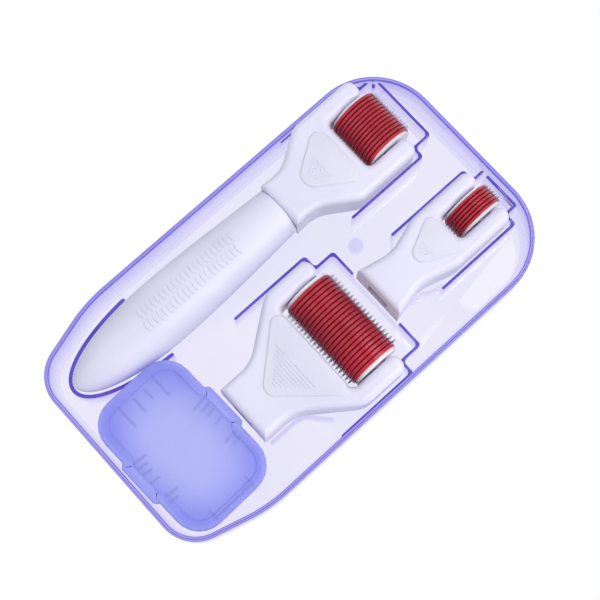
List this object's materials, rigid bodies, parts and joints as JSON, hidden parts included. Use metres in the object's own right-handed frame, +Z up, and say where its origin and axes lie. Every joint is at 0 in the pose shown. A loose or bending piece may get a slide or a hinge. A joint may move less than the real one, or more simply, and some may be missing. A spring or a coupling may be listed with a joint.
{
  "type": "derma roller kit",
  "caption": "Open tray holding a handle with a needle-disc roller head, two spare roller heads of other widths and a lidded cleaning tank.",
  "frame": {"origin": "centre of the tray's footprint, on the plane it rests on", "axes": "+X along the tray towards the roller ends, +Y towards the handle's side, +Z up out of the tray"},
  "size_m": [0.175, 0.0994, 0.0311],
  "materials": {
    "tray_plastic": "clear violet-tinted moulded plastic, polished",
    "tank_plastic": "clear blue-violet moulded plastic",
    "frosted_plastic": "frosted blue-violet moulded plastic",
    "white_plastic": "satin white moulded plastic with a cool cast",
    "cap_plastic": "glossy white moulded plastic",
    "red_plastic": "deep red moulded plastic",
    "needle_steel": "etched thin stainless sheet",
    "axle_steel": "drawn stainless wire"
  },
  "bodies": {
    "tray": {"case_tray": "tray_plastic"},
    "handle": {"handle_upper_shell": "white_plastic", "handle_lower_shell": "white_plastic", "handle_plug": "white_plastic", "face_head_fork": "white_plastic", "face_axle": "axle_steel"},
    "face_roller": {"face_end_cap_left": "cap_plastic", "face_end_cap_right": "cap_plastic", "face_spacer_rings": "red_plastic", "face_needle_discs": "needle_steel"},
    "body_head": {"body_head_fork": "white_plastic", "body_axle": "axle_steel"},
    "body_roller": {"body_end_cap_left": "cap_plastic", "body_end_cap_right": "cap_plastic", "body_spacer_rings": "red_plastic", "body_needle_discs": "needle_steel"},
    "eye_head": {"eye_head_fork": "white_plastic", "eye_axle": "axle_steel"},
    "eye_roller": {"eye_end_cap_left": "cap_plastic", "eye_end_cap_right": "cap_plastic", "eye_spacer_rings": "red_plastic", "eye_needle_discs": "needle_steel"},
    "tank": {"tank_cup": "tank_plastic"},
    "lid": {"tank_lid": "frosted_plastic"}
  },
  "joints": [
    {"name": "handle_lift", "type": "slide", "parent": "tray", "child": "handle", "axis": [0, 0, 1], "range_m": [0, 0.05]},
    {"name": "face_roller_spin", "type": "hinge", "parent": "handle", "child": "face_roller", "pos_m": [0.06355, 0.0279, 0.0192], "axis": [0, 1, 0], "continuous": true},
    {"name": "body_head_lift", "type": "slide", "parent": "tray", "child": "body_head", "axis": [0, 0, 1], "range_m": [0, 0.04]},
    {"name": "body_roller_spin", "type": "hinge", "parent": "body_head", "child": "body_roller", "pos_m": [0.0054, -0.0193, 0.0192], "axis": [0, 1, 0], "continuous": true},
    {"name": "eye_head_lift", "type": "slide", "parent": "tray", "child": "eye_head", "axis": [0, 0, 1], "range_m": [0, 0.04]},
    {"name": "eye_roller_spin", "type": "hinge", "parent": "eye_head", "child": "eye_roller", "pos_m": [0.0698, -0.0194, 0.0192], "axis": [0, 1, 0], "continuous": true},
    {"name": "tank_lift", "type": "slide", "parent": "tray", "child": "tank", "axis": [0, 0, 1], "range_m": [0, 0.04]},
    {"name": "tank_lid_lift", "type": "slide", "parent": "tank", "child": "lid", "axis": [0, 0, 1], "range_m": [0, 0.025]}
  ]
}
